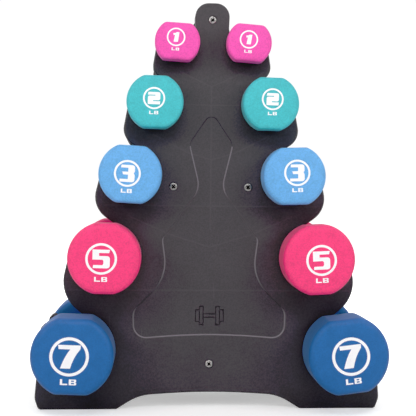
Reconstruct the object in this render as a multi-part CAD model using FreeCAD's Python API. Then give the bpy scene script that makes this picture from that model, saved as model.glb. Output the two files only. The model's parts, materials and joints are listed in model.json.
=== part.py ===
import FreeCAD, Part
import math
import os

os.makedirs("parts", exist_ok=True)

# A tree-shaped rack of two moulded side frames joined by four tubes, holding five pairs of
# neoprene-coated dumbbells. Millimetres. The rack stands on z = 0 with its middle on the z axis.
# The front is at -Y, and each dumbbell lies front to back across both frames.

# ---- driving dimensions -------------------------------------------------------------------

# side frames
FRAME_DEPTH = 94.0      # outside face to outside face of the two frames
FLANGE_DEPTH = 20.0     # how far the edge of a frame turns back from its face
SKIN = 3.0              # thickness of the face
WALL = 2.4              # thickness of the flange round the outline
EDGE_ROUND = 1.8        # rounding of the face's outer edge
RIB = 1.8               # thickness of the ribs behind the face
RIB_DEPTH = 13.0        # how far the ribs stand out behind the face

# decorative field on the face
FIELD_DEPTH = 1.0
FIELD_SLOPE = 1.2       # width of the sloping edge round the field
EMBLEM_DEPTH = 0.9      # how far the emblem's lines are sunk into the field
EMBLEM_LINE = 1.1       # width of the emblem's lines
EMBLEM_HEIGHT = 97.0    # centre of the emblem above the floor
# the emblem's boxes: centre out from the middle, width and height
EMBLEM_BOXES = ((0.0, 14.2, 4.6), (8.5, 5.0, 20.0), (12.45, 5.1, 13.0))

# screws, bosses and spacer tubes
SCREW_PLACES = ((0.0, 401.8), (-38.6, 230.1), (38.6, 230.1), (0.0, 47.0))
SPACER_NAMES = ("top_spacer", "left_spacer", "right_spacer", "bottom_spacer")
SPACER_R = 9.0
SPACER_BORE_R = 7.0
SPACER_LENGTH = 62.0
SPIGOT_R = 6.9
SPIGOT_LENGTH = 6.0
OVERLAP = 0.5           # how far parts of one moulding run into each other
OVERSHOOT = 1.0         # how far a cutting shape reaches past what it cuts
INSERT_LENGTH = 14.0
SCREW_HEAD_R = 4.0
SCREW_HEAD_HEIGHT = 2.4
SCREW_PROUD = 0.4       # how far a screw head stands out of the face
COUNTERBORE_R = 4.4
SCREW_SHANK_R = 1.9
SCREW_LENGTH = 30.0
CLEARANCE_HOLE_R = 2.2
THREAD_HOLE_R = 1.95
CROWN_ROUND = 1.1       # rounding of a screw head's edge
CROSS_WIDTH = 4.4
CROSS_SLOT = 1.4
CROSS_DEPTH = 1.6
CROSS_TURN = 40.0       # how far round each screw stopped, degrees

# dumbbells, one entry per weight in pounds:
# handle centre out from the middle, its height, handle radius, head radius, half height
# over the flats, head thickness, whole length, rounding of the head's edges
DUMBBELLS = {
    1: (36.3, 376.0, 9.0, 22.8, 18.7, 20.5, 140.0, 4.5),
    2: (58.3, 314.5, 10.0, 28.5, 26.2, 26.5, 152.0, 5.0),
    3: (82.1, 241.6, 10.5, 31.5, 28.7, 33.0, 165.0, 5.5),
    5: (106.7, 158.2, 11.5, 36.2, 34.8, 41.0, 181.0, 6.5),
    7: (136.6, 62.9, 11.0, 40.6, 37.4, 47.5, 194.0, 7.0),
}
# how far each dumbbell has rolled in its cradle, degrees clockwise as seen from the front
ROLLS = {
    1: {"left": 3.0, "right": 4.0},
    2: {"left": 1.0, "right": 1.0},
    3: {"left": 3.0, "right": -2.0},
    5: {"left": 1.0, "right": -3.0},
    7: {"left": 2.0, "right": -7.0},
}
COAT = 1.8              # thickness of the neoprene skin
CORNER_EXTRA = 2.0      # how much rounder the ends of a flat are than the head's edges
NECK_ROUND = 2.2        # rounding of the coat where the handle meets a head

# cradles
SEAT_GAP = 0.3          # clearance under the handle
SEAT_EASE = 1.5         # how much wider the seat's radius is than the handle's
# each hook tip: how far out and up from the handle centre, and its radius
HOOKS = {
    1: (17.2, 1.0, 3.5),
    2: (22.4, 5.5, 4.0),
    3: (25.2, 7.5, 4.5),
    5: (30.8, 11.5, 5.0),
    7: (32.0, 19.2, 4.5),
}
# rounded lobe under each cradle: centre out from the middle, height and radius
LOBES = {
    1: (46.3, 354.5, 14.3),
    2: (72.2, 289.0, 18.0),
    3: (92.6, 219.0, 26.0),
    5: (112.8, 132.0, 37.5),
}
# inside corner above each cradle's handle: centre out from the middle, height and radius
THROATS = {
    2: (54.0, 333.0, 6.5),
    3: (78.6, 263.0, 7.0),
    5: (102.2, 184.0, 8.0),
    7: (131.5, 87.0, 9.0),
}

CONVEX = 1
CONCAVE = -1


# ---- outlines made of circles joined by tangent lines --------------------------------------

def tangent_direction(first, second):
    # direction of the line that leaves one circle and meets the next, outline on the left
    dx = second[0] - first[0]
    dz = second[1] - first[1]
    offset = second[3] * second[2] - first[3] * first[2]
    return math.atan2(dz, dx) - math.asin(offset / math.hypot(dx, dz))


def on_circle(circle, direction):
    # the point of a circle where a line of that direction touches it
    x, z, r, side = circle
    return (x + side * r * math.sin(direction), z - side * r * math.cos(direction))


def belt_face(circles, y, grow=0.0):
    # closed outline round the circles in order, enlarged by grow, as a face in the XZ plane
    grown = [(x, z, r + side * grow, side) for x, z, r, side in circles]
    count = len(grown)
    leaving = [tangent_direction(grown[i], grown[(i + 1) % count]) for i in range(count)]
    edges = []
    for i in range(count):
        circle = grown[i]
        arrive = leaving[i - 1]
        depart = leaving[i]
        side = circle[3]
        turn = (side * (depart - arrive)) % (2.0 * math.pi)
        middle = arrive + side * turn / 2.0
        points = [on_circle(circle, d) for d in (arrive, middle, depart)]
        ends = [FreeCAD.Vector(px, y, pz) for px, pz in points]
        edges.append(Part.Arc(ends[0], ends[1], ends[2]).toShape())
        nx, nz = on_circle(grown[(i + 1) % count], depart)
        edges.append(Part.makeLine(ends[2], FreeCAD.Vector(nx, y, nz)))
    return Part.Face(Part.Wire(edges))


def mirrored_belt(bottom, right, top):
    # a belt that is the same on both sides of the z axis
    left = [(-x, z, r, side) for x, z, r, side in reversed(right)]
    return bottom + right + top + left


def frame_belt():
    # outline of a side frame, from the foot arch up the right side to the knob
    arch = [(0.0, -672.4, 690.0, CONCAVE)]  # slight rise in the middle of the foot arch
    right = [
        (56.3, -34.7, 50.0, CONCAVE),       # shoulder of the foot arch
        (96.2, 3.0, 3.0, CONVEX),           # inner end of the foot
        (172.0, 4.0, 4.0, CONVEX),          # outer end of the foot
        (163.6, 13.0, 15.0, CONVEX),        # slight bulge above the foot
    ]
    for weight in (7, 5, 3, 2, 1):
        out, height, handle_r = DUMBBELLS[weight][:3]
        if weight in LOBES:
            right.append(LOBES[weight] + (CONVEX,))
        hook_out, hook_up, hook_r = HOOKS[weight]
        right.append((out + hook_out, height + hook_up, hook_r, CONVEX))
        seat_r = handle_r + SEAT_EASE
        right.append((out, height + SEAT_EASE - SEAT_GAP, seat_r, CONCAVE))
        if weight in THROATS:
            right.append(THROATS[weight] + (CONCAVE,))
    right.append((29.2, 394.0, 12.0, CONCAVE))      # neck below the knob
    right.append((3.7, 405.3, 14.0, CONVEX))        # round top of the knob
    return mirrored_belt(arch, right, [])


def field_belt():
    # outline of the shallow decorative field, a tall flame shape
    right = [
        (65.2, 87.3, 12.5, CONVEX),
        (64.2, 96.0, 13.8, CONVEX),
        (90.0, 152.0, 44.0, CONCAVE),
        (41.0, 174.0, 7.5, CONVEX),
        (36.0, 233.0, 23.5, CONCAVE),
        (9.5, 272.0, 11.5, CONVEX),
    ]
    bottom = [(0.0, -544.0, 622.0, CONCAVE)]
    apex = [(0.0, 295.0, 6.6, CONVEX)]
    return mirrored_belt(bottom, right, apex)


# ---- small solids ---------------------------------------------------------------------------

def along_y(radius, start, length, x, z):
    base = FreeCAD.Vector(x, start, z)
    return Part.makeCylinder(radius, length, base, FreeCAD.Vector(0, 1, 0))


def rib_between(x1, z1, x2, z2, start, depth):
    # an upright plate that follows a line on the back of the face
    length = math.hypot(x2 - x1, z2 - z1)
    plate = Part.makeBox(length, depth, RIB, FreeCAD.Vector(0, start, -RIB / 2.0))
    angle = math.degrees(math.atan2(z2 - z1, x2 - x1))
    plate.rotate(FreeCAD.Vector(0, 0, 0), FreeCAD.Vector(0, -1, 0), angle)
    plate.translate(FreeCAD.Vector(x1, 0, z1))
    return plate


# ---- side frames ----------------------------------------------------------------------------

def shell(face_y):
    # the face with its flange turned back all round
    block = belt_face(frame_belt(), face_y).extrude(FreeCAD.Vector(0, FLANGE_DEPTH, 0))
    rim = [e for e in block.Edges if abs(e.BoundBox.YMax - face_y) < 0.01]
    return block.makeFillet(EDGE_ROUND, rim)


def hollow(face_y):
    # the space behind the face, inside the flange
    face = belt_face(frame_belt(), face_y + SKIN, -WALL)
    return face.extrude(FreeCAD.Vector(0, FLANGE_DEPTH, 0))


def ribs(face_y):
    # a spine, cross ribs, and a V under each pair of cradles
    start = face_y + SKIN - OVERLAP
    depth = RIB_DEPTH + OVERLAP
    lines = [(0.0, 186.0, 0.0, 334.0)]
    for height, reach in ((314.8, 60.0), (210.5, 110.0), (123.3, 145.0)):
        lines.append((-reach, height, reach, height))
    for side in (-1.0, 1.0):
        lines.append((side * 32.0, 348.4, 0.0, 333.6))
        lines.append((side * 60.0, 283.6, side * 24.0, 265.0))
        lines.append((side * 24.6, 265.4, 0.0, 258.2))
        lines.append((side * 85.0, 200.5, side * 42.0, 181.0))
        lines.append((side * 42.6, 181.3, 0.0, 168.0))
        lines.append((side * 136.6, 2.0, side * 136.6, 49.0))
        lines.append((side * 105.0, 2.0, side * 105.0, 123.3))
        lines.append((side * 105.0, 34.0, side * 176.0, 34.0))
        lines.append((0.0, 47.0, side * 105.0, 34.0))
    plates = [rib_between(*line, start, depth) for line in lines]
    return plates[0].multiFuse(plates[1:])


def bosses(face_y):
    # a collar that a spacer tube butts against, with a spigot that enters its bore
    collar = (FRAME_DEPTH - SPACER_LENGTH) / 2.0 - SKIN
    solids = []
    for x, z in SCREW_PLACES:
        solids.append(along_y(SPACER_R, face_y + SKIN - OVERLAP, collar + OVERLAP, x, z))
        solids.append(along_y(SPIGOT_R, face_y + SKIN, collar + SPIGOT_LENGTH, x, z))
    return solids


def emblem(face_y):
    # the lines of a small plain dumbbell sign, as solids to cut into the field
    depth = EMBLEM_DEPTH + OVERSHOOT
    solids = []
    for out, width, height in EMBLEM_BOXES:
        for x in sorted({-out, out}):
            low = FreeCAD.Vector(x - width / 2.0, face_y + FIELD_DEPTH - OVERSHOOT,
                                 EMBLEM_HEIGHT - height / 2.0)
            inner = low + FreeCAD.Vector(EMBLEM_LINE, 0, EMBLEM_LINE)
            block = Part.makeBox(width, depth, height, low)
            middle = Part.makeBox(width - 2.0 * EMBLEM_LINE, depth, height - 2.0 * EMBLEM_LINE, inner)
            solids.append(block.cut(middle))
    return solids


def side_frame():
    # the front frame; the rear one is the same moulding turned half a turn
    face_y = -FRAME_DEPTH / 2.0
    space = hollow(face_y)
    body = shell(face_y).cut(space)
    body = body.fuse(ribs(face_y).common(space.fuse(body)))
    body = body.fuse(bosses(face_y))
    floor = belt_face(field_belt(), face_y + FIELD_DEPTH).OuterWire
    mouth = belt_face(field_belt(), face_y - FIELD_DEPTH, 2.0 * FIELD_SLOPE).OuterWire
    body = body.cut(Part.makeLoft([floor, mouth], True, True))
    body = body.cut(emblem(face_y))
    recess = SCREW_HEAD_HEIGHT - SCREW_PROUD
    for x, z in SCREW_PLACES:
        body = body.cut(along_y(COUNTERBORE_R, face_y - OVERSHOOT, recess + OVERSHOOT, x, z))
        body = body.cut(along_y(CLEARANCE_HOLE_R, face_y, FRAME_DEPTH / 2.0, x, z))
    return body.removeSplitter()


# ---- spacer tubes, inserts and screws ---------------------------------------------------------

def spacer(x, z):
    start = -SPACER_LENGTH / 2.0
    tube = along_y(SPACER_R, start, SPACER_LENGTH, x, z)
    return tube.cut(along_y(SPACER_BORE_R, start - OVERSHOOT, SPACER_LENGTH + 2.0 * OVERSHOOT, x, z))


def insert(x, z):
    # threaded plug inside the front end of a tube, just behind the frame's spigot
    start = -SPACER_LENGTH / 2.0 + SPIGOT_LENGTH
    plug = along_y(SPACER_BORE_R, start, INSERT_LENGTH, x, z)
    return plug.cut(along_y(THREAD_HOLE_R, start - OVERSHOOT, INSERT_LENGTH + 2.0 * OVERSHOOT, x, z))


def screw(x, z):
    # pan-head screw with a cross recess, driven in from the front
    top = -FRAME_DEPTH / 2.0 - SCREW_PROUD
    head = along_y(SCREW_HEAD_R, top, SCREW_HEAD_HEIGHT, x, z)
    crown = [e for e in head.Edges if abs(e.BoundBox.YMax - top) < 0.01]
    head = head.makeFillet(CROWN_ROUND, crown)
    shank = along_y(SCREW_SHANK_R, top + SCREW_HEAD_HEIGHT - OVERLAP, SCREW_LENGTH + OVERLAP, x, z)
    corner = CROSS_WIDTH / 2.0
    edge = CROSS_SLOT / 2.0
    across = Part.makeBox(CROSS_WIDTH, CROSS_DEPTH, CROSS_SLOT, FreeCAD.Vector(x - corner, top, z - edge))
    upright = Part.makeBox(CROSS_SLOT, CROSS_DEPTH, CROSS_WIDTH, FreeCAD.Vector(x - edge, top, z - corner))
    cross = across.fuse(upright)
    cross.rotate(FreeCAD.Vector(x, 0, z), FreeCAD.Vector(0, 1, 0), CROSS_TURN)
    return head.fuse(shank).cut(cross)


def turned(shape):
    # a copy turned half a turn about the z axis, from the front frame to the rear one
    copy = shape.copy()
    copy.rotate(FreeCAD.Vector(0, 0, 0), FreeCAD.Vector(0, 0, 1), 180.0)
    return copy


# ---- dumbbells --------------------------------------------------------------------------------

def head(outer_y, thickness, radius, half_height, edge_round, corner):
    # a thick disc with a flat above and below, rounded all over
    disc = along_y(radius, outer_y, thickness, 0.0, 0.0)
    low = FreeCAD.Vector(-radius - OVERSHOOT, outer_y - OVERSHOOT, -half_height)
    reach = 2.0 * OVERSHOOT
    band = Part.makeBox(2.0 * radius + reach, thickness + reach, 2.0 * half_height, low)
    disc = disc.common(band)
    corners = [e for e in disc.Edges if e.BoundBox.YLength > thickness - 0.1
               and abs(abs(e.BoundBox.Center.z) - half_height) < 0.01]
    disc = disc.makeFillet(corner, corners)
    rims = [e for e in disc.Edges if e.BoundBox.YLength < 0.1]
    return disc.makeFillet(edge_round, rims)


def dumbbell_solid(weight, inset):
    # the whole dumbbell about the y axis, with every surface moved in by inset
    handle_r, head_r, half_height, thick, length, edge = DUMBBELLS[weight][2:]
    outer_y = -length / 2.0 + inset
    size = (thick - 2.0 * inset, head_r - inset, half_height - inset)
    rounding = (edge - inset, edge + CORNER_EXTRA - inset)
    front = head(outer_y, *size, *rounding)
    rear = head(-outer_y - size[0], *size, *rounding)
    inner_y = length / 2.0 - thick + inset
    handle = along_y(handle_r - inset, -inner_y - OVERLAP, 2.0 * (inner_y + OVERLAP), 0.0, 0.0)
    return front.fuse([handle, rear]).removeSplitter()


def neck_rounded(whole, weight):
    # the dumbbell with the coat's soft corner where the handle meets each head
    handle_r = DUMBBELLS[weight][2]
    ring = 2.0 * math.pi * handle_r
    necks = [e for e in whole.Edges if abs(e.Length - ring) < 0.5 and e.BoundBox.YLength < 0.1]
    return whole.makeFillet(NECK_ROUND, necks)


def placed(shape, weight, side):
    # a dumbbell part rolled and laid in its cradle
    out, height = DUMBBELLS[weight][:2]
    sign = 1.0 if side == "right" else -1.0
    copy = shape.copy()
    copy.rotate(FreeCAD.Vector(0, 0, 0), FreeCAD.Vector(0, 1, 0), ROLLS[weight][side])
    copy.translate(FreeCAD.Vector(sign * out, 0, height))
    return copy


# ---- write every node -------------------------------------------------------------------------

def write(shape, name):
    shape.exportStep("parts/" + name + ".step")


front = side_frame()
write(front, "front_panel")
write(turned(front), "rear_panel")

for name, (x, z) in zip(SPACER_NAMES, SCREW_PLACES):
    write(spacer(x, z), name)

inserts = [insert(x, z) for x, z in SCREW_PLACES]
write(Part.makeCompound(inserts + [turned(s) for s in inserts]), "spacer_inserts")

screws = [screw(x, z) for x, z in SCREW_PLACES]
write(Part.makeCompound(screws), "front_panel_screws")
write(Part.makeCompound([turned(s) for s in screws]), "rear_panel_screws")

for weight in DUMBBELLS:
    casting = dumbbell_solid(weight, COAT)
    skin = neck_rounded(dumbbell_solid(weight, 0.0), weight).cut(casting)
    for side in ("left", "right"):
        write(placed(casting, weight, side), "core_%d_%s" % (weight, side))
        write(placed(skin, weight, side), "coat_%d_%s" % (weight, side))
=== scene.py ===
import json
import math

import bmesh
import bpy
from mathutils import Matrix, Vector


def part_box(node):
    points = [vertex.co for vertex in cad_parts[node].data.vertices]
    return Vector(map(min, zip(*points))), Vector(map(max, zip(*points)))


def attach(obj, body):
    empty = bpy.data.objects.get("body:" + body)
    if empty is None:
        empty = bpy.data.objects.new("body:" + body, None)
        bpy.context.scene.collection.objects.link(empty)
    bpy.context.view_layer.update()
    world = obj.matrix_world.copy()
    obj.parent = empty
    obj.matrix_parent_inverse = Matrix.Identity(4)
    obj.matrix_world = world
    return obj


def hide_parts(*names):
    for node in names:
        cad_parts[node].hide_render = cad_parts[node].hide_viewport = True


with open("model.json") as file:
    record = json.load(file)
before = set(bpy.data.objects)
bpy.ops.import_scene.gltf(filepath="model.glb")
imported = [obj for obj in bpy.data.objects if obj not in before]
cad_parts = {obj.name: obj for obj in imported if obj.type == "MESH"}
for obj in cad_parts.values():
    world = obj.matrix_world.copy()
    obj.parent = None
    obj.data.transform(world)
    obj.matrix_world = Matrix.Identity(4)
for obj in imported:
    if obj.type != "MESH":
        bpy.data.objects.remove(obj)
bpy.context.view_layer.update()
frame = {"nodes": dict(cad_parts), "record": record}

MM = 0.001
QUARTER_TURN = math.pi / 2.0

# ---- dumbbells (millimetres) ------------------------------------------------------------------

# handle radius, head radius, half height over the flats, head thickness, edge rounding
HEADS = {
    1: (9.0, 22.8, 18.7, 20.5, 4.5),
    2: (10.0, 28.5, 26.2, 26.5, 5.0),
    3: (10.5, 31.5, 28.7, 33.0, 5.5),
    5: (11.5, 36.2, 34.8, 41.0, 6.5),
    7: (11.0, 40.6, 37.4, 47.5, 7.0),
}
CORNER_EXTRA = 2.0      # a flat's corner is this much rounder than the edge
NECK_ROUND = 2.2        # rounding where the handle meets the head
FACE_INSET = 0.14       # room left for the printed ink within the coat's length
DOME = 1.3              # how far a head's face falls away from its middle to its rim
DOME_POWER = 2.4        # how late that fall begins: 1 is a cone

# how many degrees each dumbbell is rolled about its handle
ROLLS = {
    1: {"left": 3.0, "right": 4.0},
    2: {"left": 1.0, "right": 1.0},
    3: {"left": 3.0, "right": -2.0},
    5: {"left": 1.0, "right": -3.0},
    7: {"left": 2.0, "right": -7.0},
}

# how finely a coat's mesh is made
RING_POINTS = 128
ARC_STEPS = 9
NECK_STEPS = 5
HANDLE_STEPS = 10
FACE_SCALES = (0.15, 0.3, 0.45, 0.6, 0.75, 0.88)    # rings on the outer face, against its rim
BACK_BLENDS = (0.35, 0.7, 1.0)                      # rings on the inner face, from rim to neck

# ---- printed marks (millimetres) --------------------------------------------------------------

# printed ring: outer radius, stroke, number's width and height
RINGS = {
    1: (9.25, 1.45, 6.2, 9.7),
    2: (11.0, 1.75, 12.4, 12.2),
    3: (13.2, 2.0, 14.6, 16.8),
    5: (15.4, 2.35, 17.0, 18.2),
    7: (19.0, 2.9, 21.8, 22.8),
}
# how far each ring's centre lies from the handle's line: right and up
RING_SHIFT = {
    1: {"left": (-1.8, 3.4), "right": (-1.2, 2.5)},
    2: {"left": (-1.0, 2.9), "right": (0.9, 3.9)},
    3: {"left": (-2.7, 0.5), "right": (1.9, 3.2)},
    5: {"left": (-2.5, 0.2), "right": (1.2, 0.0)},
    7: {"left": (-2.2, 1.0), "right": (0.9, 0.9)},
}
RING_STEPS = 96
INK = 0.1               # how far the ink stands out of the face
INK_BED = 0.05          # how far the ink reaches into the face
DOME_GRID = 3.0         # the marks are cut into squares of this size, to follow the domed faces
CUT_REACH = 1e-7        # metres: points nearer to a cut than this lie on it

# the unit under the ring: its height against the ring's radius, and the rest against that height
UNIT = "LB"
UNIT_HEIGHT = 0.30
UNIT_WIDTH = 1.25
UNIT_DROP = 1.5
UNIT_GAP = 0.20         # between letters, against a letter's width

# numbers and letters, as outlines in a unit box
GLYPHS = {
    "1": [[(0.0, 0.86), (0.42, 0.92), (0.60, 1.0), (1.0, 1.0), (0.84, 0.0), (0.14, 0.0),
           (0.32, 0.70), (0.08, 0.67)]],
    "2": [[(0.05, 1.0), (0.86, 1.0), (0.96, 0.96), (1.0, 0.87), (1.0, 0.46), (0.96, 0.37),
           (0.86, 0.33), (0.43, 0.33), (0.43, 0.25), (1.0, 0.25), (0.97, 0.0), (0.03, 0.0),
           (0.0, 0.05), (0.0, 0.58), (0.04, 0.66), (0.13, 0.70), (0.60, 0.70), (0.60, 0.77),
           (0.0, 0.77)]],
    "3": [[(0.08, 1.0), (0.84, 1.0), (0.95, 0.96), (1.0, 0.87), (1.0, 0.63), (0.93, 0.52),
           (1.0, 0.41), (1.0, 0.13), (0.95, 0.04), (0.84, 0.0), (0.0, 0.0), (0.0, 0.17),
           (0.55, 0.17), (0.55, 0.43), (0.21, 0.43), (0.15, 0.60), (0.55, 0.60), (0.55, 0.83),
           (0.05, 0.83)]],
    "5": [[(0.0, 1.0), (1.0, 1.0), (0.95, 0.82), (0.38, 0.82), (0.38, 0.66), (0.85, 0.66),
           (0.96, 0.62), (1.0, 0.53), (1.0, 0.13), (0.96, 0.04), (0.85, 0.0), (0.03, 0.0),
           (0.05, 0.17), (0.58, 0.17), (0.63, 0.24), (0.63, 0.40), (0.57, 0.46), (0.0, 0.46)]],
    "7": [[(0.0, 1.0), (1.0, 1.0), (0.985, 0.84), (0.83, 0.63), (0.71, 0.42), (0.62, 0.20),
           (0.56, 0.0), (0.12, 0.0), (0.20, 0.22), (0.30, 0.44), (0.41, 0.64), (0.54, 0.82),
           (0.02, 0.82)]],
    "L": [[(0.0, 1.0), (0.30, 1.0), (0.30, 0.24), (1.0, 0.24), (1.0, 0.0), (0.0, 0.0)]],
    "B": [[(0.0, 1.0), (0.30, 1.0), (0.30, 0.0), (0.0, 0.0)],
          [(0.30, 1.0), (0.88, 1.0), (0.98, 0.90), (0.98, 0.62), (0.88, 0.51), (1.0, 0.40),
           (1.0, 0.10), (0.90, 0.0), (0.30, 0.0), (0.30, 0.18), (0.70, 0.18), (0.70, 0.41),
           (0.30, 0.41), (0.30, 0.60), (0.68, 0.60), (0.68, 0.81), (0.30, 0.81)]],
}

# ---- marks on the frames (millimetres) --------------------------------------------------------

# faint sink marks on the outer faces, over the ribs behind, dented in the bump and painted lighter
# as a painted highlight: start and end (x, z) of the right-hand half, and how far out from the middle the
# mark runs
SINK_MARKS = (
    ((0.0, 333.6), (32.0, 348.4), 34.0),
    ((0.0, 258.2), (24.6, 265.4), 24.6),
    ((24.0, 265.0), (60.0, 283.6), 60.0),
    ((0.0, 168.0), (42.6, 181.3), 42.6),
    ((42.0, 181.0), (85.0, 200.5), 85.0),
    ((0.0, 314.8), (60.0, 314.8), 60.0),
    ((0.0, 210.5), (110.0, 210.5), 110.0),
    ((0.0, 123.3), (145.0, 123.3), 145.0),
)
SPINE = (186.0, 334.0)          # lowest and highest point of the mark over the upright rib
MARK_WIDTH = 1.5

# the field's sloping edge gets a painted highlight, lighter where it does not face down: how far out, and
# between which heights
FIELD_OUT = 82.0
FIELD_LOW, FIELD_HIGH = 70.0, 272.0
SLOPE_TILT = (0.4, 0.93)        # a sloping face's normal has a y part between these
HIGHLIGHT_FROM, HIGHLIGHT_FULL = -0.45, -0.15     # the painted highlight fades out where the normal points down

# ---- colours ----------------------------------------------------------------------------------

COLOURS = {
    1: (0.90, 0.085, 0.44),
    2: (0.055, 0.50, 0.55),
    3: (0.135, 0.41, 0.78),
    5: (0.93, 0.045, 0.20),
    7: (0.022, 0.125, 0.375),
}
SLOTS = {1: "neoprene_magenta", 2: "neoprene_teal", 3: "neoprene_sky", 5: "neoprene_rose",
         7: "neoprene_blue"}
FRAME_COLOUR = (0.045, 0.040, 0.046)
TUBE_COLOUR = (0.028, 0.027, 0.029)
INSERT_COLOUR = (0.02, 0.02, 0.02)
IRON_LOW, IRON_HIGH = (0.10, 0.095, 0.09), (0.17, 0.16, 0.155)
NICKEL_LOW, NICKEL_HIGH = (0.40, 0.39, 0.38), (0.58, 0.57, 0.56)
RECESS_SHADE = (0.02, 0.019, 0.018)    # painted shade: the dark, dull colour of a screw's recesses
INK_LOW, INK_HIGH = (0.80, 0.80, 0.84), (0.93, 0.92, 0.94)
PAPER_LOW, PAPER_HIGH = (0.80, 0.80, 0.80), (0.82, 0.82, 0.82)
WHITE = (1.0, 1.0, 1.0, 1.0)

RECESS_DEPTH = 0.5 * MM         # the painted shade in a screw's recesses stops this far below the top of its head
RECESS_SHADE_FADE = 0.3 * MM
STREAK_SCALE = (420.0, 60.0, 34.0)      # about how many scuffs fit in a metre along x, y and z
STREAK_TURN = (0.0, 0.5, 0.0)
SCUFF_SHADE = 2.0               # how much lighter than the plastic each kind of mark is: scuffs are real wear, the sink marks and the sloping edge are painted highlights
SINK_HIGHLIGHT_SHADE = 1.9
HIGHLIGHT_SHADE = 3.6
SINK_HIGHLIGHT_STRENGTH = 0.22


# ---- materials --------------------------------------------------------------------------------

class Nodes:
    """A new material, with short calls that add and link its nodes."""

    def __init__(self, name):
        self.material = bpy.data.materials.new(name)
        self.material.use_nodes = True
        self.tree = self.material.node_tree
        self.shader = self.tree.nodes["Principled BSDF"]
        coordinates = self.add("ShaderNodeTexCoord")
        self.where = coordinates.outputs["Object"]
        self.way = coordinates.outputs["Normal"]

    def add(self, kind, **settings):
        node = self.tree.nodes.new(kind)
        for key, value in settings.items():
            setattr(node, key, value)
        return node

    def link(self, a, b):
        self.tree.links.new(a, b)

    def feed(self, socket, value):
        """Links another socket, or sets a plain number or colour."""
        if isinstance(value, tuple):
            socket.default_value = value + (1.0,)
        elif isinstance(value, (int, float)):
            socket.default_value = value
        else:
            self.link(value, socket)

    def noise(self, size_mm, detail=2.0, rough=0.5):
        node = self.add("ShaderNodeTexNoise")
        node.inputs["Scale"].default_value = 1000.0 / size_mm
        node.inputs["Detail"].default_value = detail
        node.inputs["Roughness"].default_value = rough
        self.link(self.where, node.inputs["Vector"])
        return node.outputs["Fac"]

    def streaks(self):
        """Long thin noise for scuffs."""
        stretch = self.add("ShaderNodeMapping")
        stretch.inputs["Scale"].default_value = STREAK_SCALE
        stretch.inputs["Rotation"].default_value = STREAK_TURN
        self.link(self.where, stretch.inputs["Vector"])
        node = self.add("ShaderNodeTexNoise")
        node.inputs["Scale"].default_value = 1.0
        node.inputs["Detail"].default_value = 2.0
        self.link(stretch.outputs["Vector"], node.inputs["Vector"])
        return node.outputs["Fac"]

    def ramp(self, fac, *stops):
        """Colour from a 0 to 1 socket; the stops are (position, colour)."""
        node = self.add("ShaderNodeValToRGB")
        elements = node.color_ramp.elements
        for element, (position, colour) in zip(elements, stops):
            element.position = position
            element.color = colour + (1.0,)
        self.link(fac, node.inputs["Fac"])
        return node.outputs["Color"]

    def grey(self, fac, low, high, start=0.3, end=0.7, kind="LINEAR"):
        """Number that goes from low to high as the socket goes from start to end."""
        node = self.add("ShaderNodeMapRange", interpolation_type=kind)
        for key, value in (("From Min", start), ("From Max", end), ("To Min", low), ("To Max", high)):
            node.inputs[key].default_value = value
        self.link(fac, node.inputs["Value"])
        return node.outputs["Result"]

    def mix(self, factor, a, b, kind="MIX"):
        """Colour between a and b."""
        node = self.add("ShaderNodeMix", data_type="RGBA", blend_type=kind)
        self.feed(node.inputs["Factor"], factor)
        self.feed(node.inputs["A"], a)
        self.feed(node.inputs["B"], b)
        return node.outputs["Result"]

    def split(self, vector):
        """The x, y and z sockets of a vector."""
        node = self.add("ShaderNodeSeparateXYZ")
        self.link(vector, node.inputs["Vector"])
        return node.outputs["X"], node.outputs["Y"], node.outputs["Z"]

    def math(self, operation, *values):
        node = self.add("ShaderNodeMath", operation=operation)
        for socket, value in zip(node.inputs, values):
            self.feed(socket, value)
        return node.outputs["Value"]

    def fade(self, distance):
        """1 at no distance, falling smoothly to 0 at the width of a sink mark."""
        return self.grey(distance, 1.0, 0.0, 0.0, MARK_WIDTH * MM, "SMOOTHSTEP")

    def bump(self, *layers):
        """Each layer is (height socket, strength, depth in mm), one on another."""
        normal = None
        for height, strength, depth in layers:
            node = self.add("ShaderNodeBump")
            node.inputs["Strength"].default_value = strength
            node.inputs["Distance"].default_value = depth * MM
            self.link(height, node.inputs["Height"])
            if normal is not None:
                self.link(normal, node.inputs["Normal"])
            normal = node.outputs["Normal"]
        self.link(normal, self.shader.inputs["Normal"])

    def set(self, **values):
        """Plain values straight on the shader's sockets."""
        for key, value in values.items():
            self.shader.inputs[key.replace("_", " ")].default_value = value

    def finish(self, base, roughness):
        self.link(base, self.shader.inputs["Base Color"])
        self.link(roughness, self.shader.inputs["Roughness"])
        return self.material


def shade(colour, factor):
    return tuple(min(1.0, c * factor) for c in colour)


def sink_marks(m):
    """One socket that is 1 along the middle of each sink mark and 0 away from them."""
    x, _, z = m.split(m.where)
    out = m.math("ABSOLUTE", x)
    high = m.math("LESS_THAN", z, SPINE[1] * MM)
    low = m.math("GREATER_THAN", z, SPINE[0] * MM)
    total = m.math("MULTIPLY", m.fade(out), m.math("MULTIPLY", high, low))
    for (x1, z1), (x2, z2), reach in SINK_MARKS:
        length = math.hypot(x2 - x1, z2 - z1)
        nx = (z1 - z2) / length
        nz = (x2 - x1) / length
        offset = (nx * x1 + nz * z1) * MM
        across = m.math("MULTIPLY", out, nx)
        rise = m.math("MULTIPLY_ADD", z, nz, -offset)
        gap = m.math("ABSOLUTE", m.math("ADD", across, rise))
        after = m.math("GREATER_THAN", out, x1 * MM)
        before = m.math("LESS_THAN", out, reach * MM)
        mark = m.math("MULTIPLY", m.fade(gap), m.math("MULTIPLY", after, before))
        total = m.math("MAXIMUM", total, mark)
    return total


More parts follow.
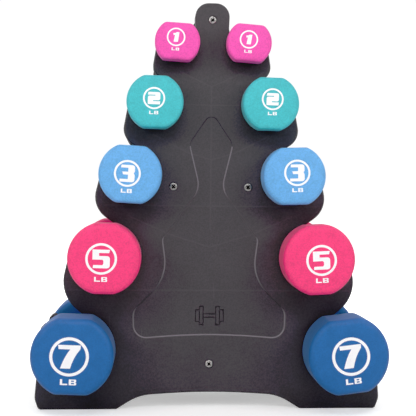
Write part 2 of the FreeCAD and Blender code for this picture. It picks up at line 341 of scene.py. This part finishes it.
def worn_slope(m):
    """One socket that is 1 on the sloping edge of the shallow field, but not where it faces down: where
    the painted highlight goes.
    """
    x, _, z = m.split(m.where)
    _, facing_y, facing_z = m.split(m.way)
    tilt = m.math("ABSOLUTE", facing_y)
    steep = m.math("LESS_THAN", tilt, SLOPE_TILT[1])
    sloped = m.math("MULTIPLY", steep, m.math("GREATER_THAN", tilt, SLOPE_TILT[0]))
    near = m.math("LESS_THAN", m.math("ABSOLUTE", x), FIELD_OUT * MM)
    over = m.math("GREATER_THAN", z, FIELD_LOW * MM)
    under = m.math("LESS_THAN", z, FIELD_HIGH * MM)
    lit = m.grey(facing_z, 0.0, 1.0, HIGHLIGHT_FROM, HIGHLIGHT_FULL)
    inside = m.math("MULTIPLY", near, m.math("MULTIPLY", over, under))
    return m.math("MULTIPLY", m.math("MULTIPLY", sloped, inside), lit)


def neoprene(name, colour):
    m = Nodes(name)
    mottle = m.noise(9.0, detail=3.0, rough=0.6)
    speck = m.noise(1.5, rough=0.6)
    swell = m.noise(14.0, detail=1.0)
    base = m.ramp(mottle, (0.30, shade(colour, 0.93)), (0.70, shade(colour, 1.05)))
    fine = m.ramp(speck, (0.32, (0.86, 0.86, 0.86)), (0.62, (1.04, 1.04, 1.04)))
    m.set(Specular_IOR_Level=0.38, Sheen_Weight=0.12, Sheen_Roughness=0.5)
    m.bump((swell, 0.25, 0.5), (speck, 0.35, 0.12))
    return m.finish(m.mix(1.0, base, fine, "MULTIPLY"), m.grey(speck, 0.50, 0.68))


def moulded(name, colour, roughness, grain_mm, scuffed=True, marked=False):
    """Moulded plastic, with scuffs, and on the frames with sink marks, dented and painted lighter as a
    painted highlight, and a painted highlight on the sloping edge.
    """
    m = Nodes(name)
    cloud = m.noise(45.0, detail=3.0, rough=0.6)
    speck = m.noise(1.6, rough=0.7)
    grain = m.noise(grain_mm, detail=3.0, rough=0.65)
    cloudy = m.ramp(cloud, (0.25, shade(colour, 0.88)), (0.75, shade(colour, 1.12)))
    speckle = m.ramp(speck, (0.35, (0.84, 0.84, 0.84)), (0.65, (1.16, 1.16, 1.16)))
    base = m.mix(1.0, cloudy, speckle, "MULTIPLY")
    layers = [(m.noise(60.0, detail=1.0), 0.15, 1.0), (grain, 0.45, 0.10)]
    if scuffed:
        scuffs = m.grey(m.streaks(), 0.0, 0.35, 0.70, 0.80)
        base = m.mix(scuffs, base, shade(colour, SCUFF_SHADE))
    if marked:
        sink = sink_marks(m)
        # painted highlight: the sink marks are made lighter in colour; the bump further on dents them
        base = m.mix(m.math("MULTIPLY", sink, SINK_HIGHLIGHT_STRENGTH), base, shade(colour, SINK_HIGHLIGHT_SHADE))
        # painted highlight: the field's sloping edge is made lighter where it does not face down
        base = m.mix(worn_slope(m), base, shade(colour, HIGHLIGHT_SHADE))
        layers.append((m.math("MULTIPLY", sink, -1.0), 0.6, 0.12))
    m.set(Specular_IOR_Level=0.5)
    m.bump(*layers)
    return m.finish(base, m.grey(grain, *roughness))


def nickel(name, bright_from):
    """Bright plating, with painted shade, dark and dull, in the recesses, which lie nearer the middle
    than bright_from.
    """
    m = Nodes(name)
    wear = m.noise(2.5, detail=3.0, rough=0.6)
    plated = m.ramp(wear, (0.3, NICKEL_LOW), (0.7, NICKEL_HIGH))
    _, y, _ = m.split(m.where)
    # painted shade: below bright_from the plating turns dark and dull
    out_of_shade = m.grey(m.math("ABSOLUTE", y), 0.0, 1.0, bright_from - RECESS_SHADE_FADE, bright_from)
    m.set(Metallic=1.0)
    m.bump((m.noise(0.6), 0.15, 0.03))
    return m.finish(m.mix(out_of_shade, RECESS_SHADE, plated), m.grey(wear, 0.22, 0.38))


def cast_iron(name):
    m = Nodes(name)
    cloud = m.noise(6.0, detail=3.0, rough=0.6)
    m.set(Metallic=0.8)
    m.bump((m.noise(1.5, detail=3.0), 0.5, 0.2))
    return m.finish(m.ramp(cloud, (0.3, IRON_LOW), (0.7, IRON_HIGH)), m.grey(cloud, 0.5, 0.75))


def ink(name):
    m = Nodes(name)
    wear = m.noise(0.9, detail=3.0, rough=0.7)
    m.set(Specular_IOR_Level=0.35)
    m.bump((wear, 0.2, 0.05))
    return m.finish(m.ramp(wear, (0.28, INK_LOW), (0.42, INK_HIGH)), m.grey(wear, 0.45, 0.6))


screw_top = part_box("rear_panel_screws")[1][1]

MATERIALS = {
    "frame_plastic": moulded("frame_plastic", FRAME_COLOUR, (0.46, 0.64), 0.9, marked=True),
    "tube_plastic": moulded("tube_plastic", TUBE_COLOUR, (0.34, 0.48), 0.7),
    "insert_nylon": moulded("insert_nylon", INSERT_COLOUR, (0.35, 0.5), 0.8, scuffed=False),
    "screw_steel": nickel("screw_steel", screw_top - RECESS_DEPTH),
    "iron": cast_iron("iron"),
    "ink": ink("white_ink"),
}
for weight, slot in SLOTS.items():
    MATERIALS[slot] = neoprene(slot, COLOURS[weight])

slot_of = {part["node"]: part["material_slot"] for part in frame["record"]["subparts"]}
for node, obj in frame["nodes"].items():
    material = MATERIALS[slot_of[node]]
    if not obj.material_slots:
        obj.data.materials.append(material)
    for place in obj.material_slots:
        place.material = material


# ---- dumbbell coats ---------------------------------------------------------------------------

def flatted_outline(radius, half_height, corner):
    """Points and outward normals round a disc with a flat above and below, (x, z)."""
    reach = radius - corner
    drop = half_height - corner
    side = math.sqrt(reach * reach - drop * drop)
    split = math.atan2(drop, side)
    arc_share = split * radius
    bend_share = (QUARTER_TURN - split) * corner
    total = side + arc_share + bend_share
    count = RING_POINTS // 4
    quarter = []
    for i in range(count):
        s = total * i / count
        if s < arc_share:
            a = s / radius
            point = (radius * math.cos(a), radius * math.sin(a))
            normal = (math.cos(a), math.sin(a))
        elif s < arc_share + bend_share:
            a = split + (s - arc_share) / corner
            point = (side + corner * math.cos(a), drop + corner * math.sin(a))
            normal = (math.cos(a), math.sin(a))
        else:
            point = (side - (s - arc_share - bend_share), half_height)
            normal = (0.0, 1.0)
        quarter.append((point, normal))
    top = ((0.0, half_height), (0.0, 1.0))
    # the second and fourth quarters are mirrored, so they run the other way
    back = list(reversed(quarter[1:] + [top]))
    outline = []
    for points, sx, sz in ((quarter, 1.0, 1.0), (back, -1.0, 1.0), (quarter, -1.0, -1.0),
                           (back, 1.0, -1.0)):
        outline.extend(((sx * p[0], sz * p[1]), (sx * n[0], sz * n[1])) for p, n in points)
    return outline


def fall(distance, rim_radius):
    """How far the domed face lies behind its middle, at a distance from the middle."""
    return DOME * min(1.0, distance / rim_radius) ** DOME_POWER


def head_rings(outline, edge, face_y, inner_y, neck):
    """Rings of (x, y, z) from the middle of the front face to the neck on the inner face."""
    rings = []
    rim = [(p[0] - edge * n[0], p[1] - edge * n[1]) for p, n in outline]
    rim_radius = max(x for x, _ in rim)
    for scale in FACE_SCALES:
        ring = [(x * scale, z * scale) for x, z in rim]
        rings.append([(x, face_y + fall(math.hypot(x, z), rim_radius), z) for x, z in ring])
    for step in range(ARC_STEPS):
        a = QUARTER_TURN * step / (ARC_STEPS - 1)
        inset = edge * (1.0 - math.sin(a))
        ring = []
        for (p, n), (rim_x, rim_z) in zip(outline, rim):
            start = fall(math.hypot(rim_x, rim_z), rim_radius)
            drop = start + (edge - start) * (1.0 - math.cos(a))
            ring.append((p[0] - inset * n[0], face_y + drop, p[1] - inset * n[1]))
        rings.append(ring)
    for step in range(ARC_STEPS):
        a = QUARTER_TURN * step / (ARC_STEPS - 1)
        inset = edge * (1.0 - math.cos(a))
        y = inner_y - edge * (1.0 - math.sin(a))
        rings.append([(p[0] - inset * n[0], y, p[1] - inset * n[1]) for p, n in outline])
    for blend in BACK_BLENDS:
        ring = []
        for x, z in rim:
            k = (1.0 - blend) + blend * neck / math.hypot(x, z)
            ring.append((x * k, inner_y, z * k))
        rings.append(ring)
    return rings


def coat_mesh(weight, length):
    """The whole dipped skin about the y axis, as one closed mesh, in metres."""
    handle, radius, half_height, thick, edge = HEADS[weight]
    outline = flatted_outline(radius, half_height, edge + CORNER_EXTRA)
    outer = length / 2.0 - FACE_INSET
    inner = length / 2.0 - thick
    neck = handle + NECK_ROUND
    rings = head_rings(outline, edge, -outer, -inner, neck)
    angles = [math.atan2(z, x) for x, _, z in rings[-1]]
    for step in range(1, NECK_STEPS + 1):
        a = QUARTER_TURN * step / NECK_STEPS
        r = neck - NECK_ROUND * math.sin(a)
        y = -inner + NECK_ROUND * (1.0 - math.cos(a))
        rings.append([(r * math.cos(t), y, r * math.sin(t)) for t in angles])
    rear = [[(x, -y, z) for x, y, z in ring] for ring in reversed(rings)]
    run = inner - NECK_ROUND
    for step in range(1, HANDLE_STEPS):
        y = -run + 2.0 * run * step / HANDLE_STEPS
        rings.append([(handle * math.cos(t), y, handle * math.sin(t)) for t in angles])
    rings.extend(rear)

    mesh = bmesh.new()
    rows = [[mesh.verts.new((x * MM, y * MM, z * MM)) for x, y, z in ring] for ring in rings]
    for a, b in zip(rows, rows[1:]):
        for i in range(RING_POINTS):
            j = (i + 1) % RING_POINTS
            mesh.faces.new((a[i], a[j], b[j], b[i]))
    for row, y in ((rows[0], -outer), (rows[-1], outer)):
        centre = mesh.verts.new((0.0, y * MM, 0.0))
        for i in range(RING_POINTS):
            mesh.faces.new((row[i], centre, row[(i + 1) % RING_POINTS]))
    bmesh.ops.recalc_face_normals(mesh, faces=mesh.faces)
    for face in mesh.faces:
        face.smooth = True
    return mesh


# ---- printed marks ----------------------------------------------------------------------------

def add_prism(mesh, outline, low, high):
    """A thin flat solid from an outline of (x, z), between two y values."""
    bottom = [mesh.verts.new((x * MM, low * MM, z * MM)) for x, z in outline]
    top = [mesh.verts.new((x * MM, high * MM, z * MM)) for x, z in outline]
    mesh.faces.new(bottom)
    mesh.faces.new(list(reversed(top)))
    count = len(outline)
    for i in range(count):
        j = (i + 1) % count
        mesh.faces.new((bottom[j], bottom[i], top[i], top[j]))


def add_ring(mesh, cx, cz, outer, stroke, low, high):
    """A thin flat ring about (cx, cz), between two y values."""
    rows = []
    for r, y in ((outer, low), (outer, high), (outer - stroke, high), (outer - stroke, low)):
        row = []
        for i in range(RING_STEPS):
            a = 2.0 * math.pi * i / RING_STEPS
            row.append(mesh.verts.new(((cx + r * math.cos(a)) * MM, y * MM, (cz + r * math.sin(a)) * MM)))
        rows.append(row)
    for a, b in zip(rows, rows[1:] + rows[:1]):
        for i in range(RING_STEPS):
            j = (i + 1) % RING_STEPS
            mesh.faces.new((a[i], a[j], b[j], b[i]))


def add_glyph(mesh, name, left, base, width, height, low, high):
    for outline in GLYPHS[name]:
        add_prism(mesh, [(left + x * width, base + z * height) for x, z in outline], low, high)


def lay_on_dome(mesh, rim_radius):
    """Cuts flat marks into a fine grid and bends them onto the domed face of the front end."""
    steps = int(rim_radius / DOME_GRID)
    for index in range(-steps, steps + 1):
        for normal in ((1.0, 0.0, 0.0), (0.0, 0.0, 1.0)):
            place = Vector(normal) * (index * DOME_GRID * MM)
            parts = mesh.verts[:] + mesh.edges[:] + mesh.faces[:]
            bmesh.ops.bisect_plane(mesh, geom=parts, dist=CUT_REACH, plane_co=place, plane_no=normal)
    for vert in mesh.verts:
        vert.co.y += fall(math.hypot(vert.co.x, vert.co.z) / MM, rim_radius) * MM


def print_mesh(weight, side, length, back):
    """Ring, number and unit on one end of a dumbbell, readable from that end."""
    outer, stroke, width, height = RINGS[weight]
    cx, cz = RING_SHIFT[weight][side]
    face = -(length / 2.0 - FACE_INSET)
    low = face - INK
    high = face + INK_BED
    mesh = bmesh.new()
    add_ring(mesh, cx, cz, outer, stroke, low, high)
    add_glyph(mesh, str(weight), cx - width / 2.0, cz - height / 2.0, width, height, low, high)
    cap = outer * UNIT_HEIGHT
    letter = cap * UNIT_WIDTH
    gap = letter * UNIT_GAP
    left = cx - letter - gap / 2.0
    base = cz - outer - cap * UNIT_DROP
    for index, name in enumerate(UNIT):
        add_glyph(mesh, name, left + index * (letter + gap), base, letter, cap, low, high)
    mesh.normal_update()
    wide = [face for face in mesh.faces if len(face.verts) > 4]
    bmesh.ops.triangulate(mesh, faces=wide, ngon_method="EAR_CLIP")
    radius, edge = HEADS[weight][1], HEADS[weight][4]
    lay_on_dome(mesh, radius - edge)
    if back:
        mesh.transform(Matrix.Rotation(math.pi, 4, "Z"))
    bmesh.ops.recalc_face_normals(mesh, faces=mesh.faces)
    return mesh


# ---- dumbbells in their cradles ---------------------------------------------------------------

def finish_piece(mesh, name, place, roll, body, slot):
    """Turns a bmesh about the y axis into a piece laid in its cradle."""
    data = bpy.data.meshes.new(name)
    turn = Matrix.Translation(place) @ Matrix.Rotation(math.radians(roll), 4, "Y")
    mesh.transform(turn)
    mesh.to_mesh(data)
    mesh.free()
    obj = bpy.data.objects.new(name, data)
    bpy.context.scene.collection.objects.link(obj)
    data.materials.append(MATERIALS[slot])
    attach(obj, body)
    return obj


for weight in HEADS:
    for side in ("left", "right"):
        tag = "%d_%s" % (weight, side)
        low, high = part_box("coat_" + tag)
        middle = (Vector(low) + Vector(high)) / 2.0
        length = (high[1] - low[1]) / MM
        body = "dumbbell_" + tag
        roll = ROLLS[weight][side]
        skin = coat_mesh(weight, length)
        coat = finish_piece(skin, "neoprene_coat_" + tag, middle, roll, body, SLOTS[weight])
        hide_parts("coat_" + tag)
        for back in (False, True):
            name = "print_%s_%s" % (tag, "rear" if back else "front")
            marks = print_mesh(weight, side, length, back)
            mark = finish_piece(marks, name, middle, roll, body, "ink")


# ---- camera -----------------------------------------------------------------------------------

CAMERA = Vector((-0.0575, -0.9227, 0.2228))
FOCAL_LENGTH = 73.5923
SENSOR = 36.0
YAW = math.radians(3.58)
PITCH = math.radians(0.94)
ROLL = math.radians(0.62)

ahead = Vector((math.sin(YAW) * math.cos(PITCH), math.cos(YAW) * math.cos(PITCH), -math.sin(PITCH)))
level = Vector((math.cos(YAW), -math.sin(YAW), 0.0))
above = level.cross(ahead)
right = level * math.cos(ROLL) + above * math.sin(ROLL)
up = above * math.cos(ROLL) - level * math.sin(ROLL)
camera_data = bpy.data.cameras.new("camera")
camera_data.sensor_width = SENSOR
camera_data.lens = FOCAL_LENGTH
camera = bpy.data.objects.new("camera", camera_data)
bpy.context.scene.collection.objects.link(camera)
axes = Matrix((right, up, -ahead)).transposed()
camera.matrix_world = Matrix.Translation(CAMERA) @ axes.to_4x4()
bpy.context.scene.camera = camera


# ---- studio -----------------------------------------------------------------------------------

AIM = (0.0, 0.0, 0.20)          # the middle of the rack
SIDE_SIZE = (0.6, 0.6)


def softbox(name, place, aim, size, power):
    data = bpy.data.lights.new(name, "AREA")
    data.shape = "RECTANGLE"
    data.size = size[0]
    data.size_y = size[1]
    data.energy = power
    lamp = bpy.data.objects.new(name, data)
    bpy.context.scene.collection.objects.link(lamp)
    lamp.location = place
    lamp.rotation_mode = "QUATERNION"
    lamp.rotation_quaternion = (Vector(aim) - Vector(place)).to_track_quat("-Z", "Y")


softbox("key_left", (-0.95, -0.90, 0.70), AIM, SIDE_SIZE, 5.6)
softbox("key_right", (0.95, -0.90, 0.70), AIM, SIDE_SIZE, 5.4)
softbox("front_top", (0.0, -1.05, 1.05), AIM, (0.9, 0.45), 6.2)
softbox("overhead", (0.0, 0.75, 1.70), (0.0, 0.75, 0.0), (2.6, 1.6), 16.0)
softbox("back_left", (-0.95, 0.90, 0.75), AIM, SIDE_SIZE, 5.0)
softbox("back_right", (0.95, 0.90, 0.75), AIM, SIDE_SIZE, 5.0)

# the backdrop is pure white, but lights the object only dimly
BACKDROP = 1.02
FILL = 0.20
# the floor's glow, a painted light that whitens it: lower near the rack, a painted shade round it, and
# full far off; and where those two lie, in metres
NEAR_GLOW, FAR_GLOW = 0.42, 1.0
NEAR, FAR = 0.25, 0.80
FLOOR_REACH = 6.0


def glow(tree, socket, seen, otherwise):
    """Feeds a strength socket: one value for what is seen, another for light that bounces."""
    rays = tree.nodes.new("ShaderNodeLightPath")
    strength = tree.nodes.new("ShaderNodeMapRange")
    strength.inputs["To Min"].default_value = otherwise
    if isinstance(seen, float):
        strength.inputs["To Max"].default_value = seen
    else:
        tree.links.new(seen, strength.inputs["To Max"])
    tree.links.new(rays.outputs["Is Camera Ray"], strength.inputs["Value"])
    tree.links.new(strength.outputs["Result"], socket)


world = bpy.data.worlds.new("studio")
bpy.context.scene.world = world
world.use_nodes = True
backdrop = world.node_tree.nodes["Background"]
backdrop.inputs["Color"].default_value = WHITE
glow(world.node_tree, backdrop.inputs["Strength"], BACKDROP, FILL)

paper = Nodes("paper")
paper.set(Roughness=0.9, Specular_IOR_Level=0.1, Emission_Color=WHITE)
tone = paper.ramp(paper.noise(300.0), (0.3, PAPER_LOW), (0.7, PAPER_HIGH))
paper.link(tone, paper.shader.inputs["Base Color"])
# the paper glows evenly white far off; round the rack it glows less, a painted shade beneath its real
# soft shadows
away = paper.add("ShaderNodeVectorMath", operation="LENGTH")
paper.link(paper.where, away.inputs[0])
# painted light: the floor's glow, seen only by the camera, grows with distance from the rack
spread = paper.grey(away.outputs["Value"], NEAR_GLOW, FAR_GLOW, NEAR, FAR)
glow(paper.tree, paper.shader.inputs["Emission Strength"], spread, 0.0)

corners = [(x * FLOOR_REACH, y * FLOOR_REACH, 0.0) for x, y in ((-1, -1), (1, -1), (1, 1), (-1, 1))]
floor_data = bpy.data.meshes.new("floor")
floor_data.from_pydata(corners, [], [(0, 1, 2, 3)])
floor_data.materials.append(paper.material)
floor = bpy.data.objects.new("floor", floor_data)
bpy.context.scene.collection.objects.link(floor)

# the darkest tones are deepened: pairs of a tone before and after
TONES = ((0.03, 0.010), (0.05, 0.034), (0.062, 0.060), (0.08, 0.08))
ALL_COLOURS = 3         # the curve that works on red, green and blue alike

view = bpy.context.scene.view_settings
view.view_transform = "Standard"
view.look = "None"
view.use_curve_mapping = True
mapping = view.curve_mapping
curve = mapping.curves[ALL_COLOURS]
for before, after in TONES:
    curve.points.new(before, after)
for point in curve.points:
    point.handle_type = "VECTOR"
mapping.update()
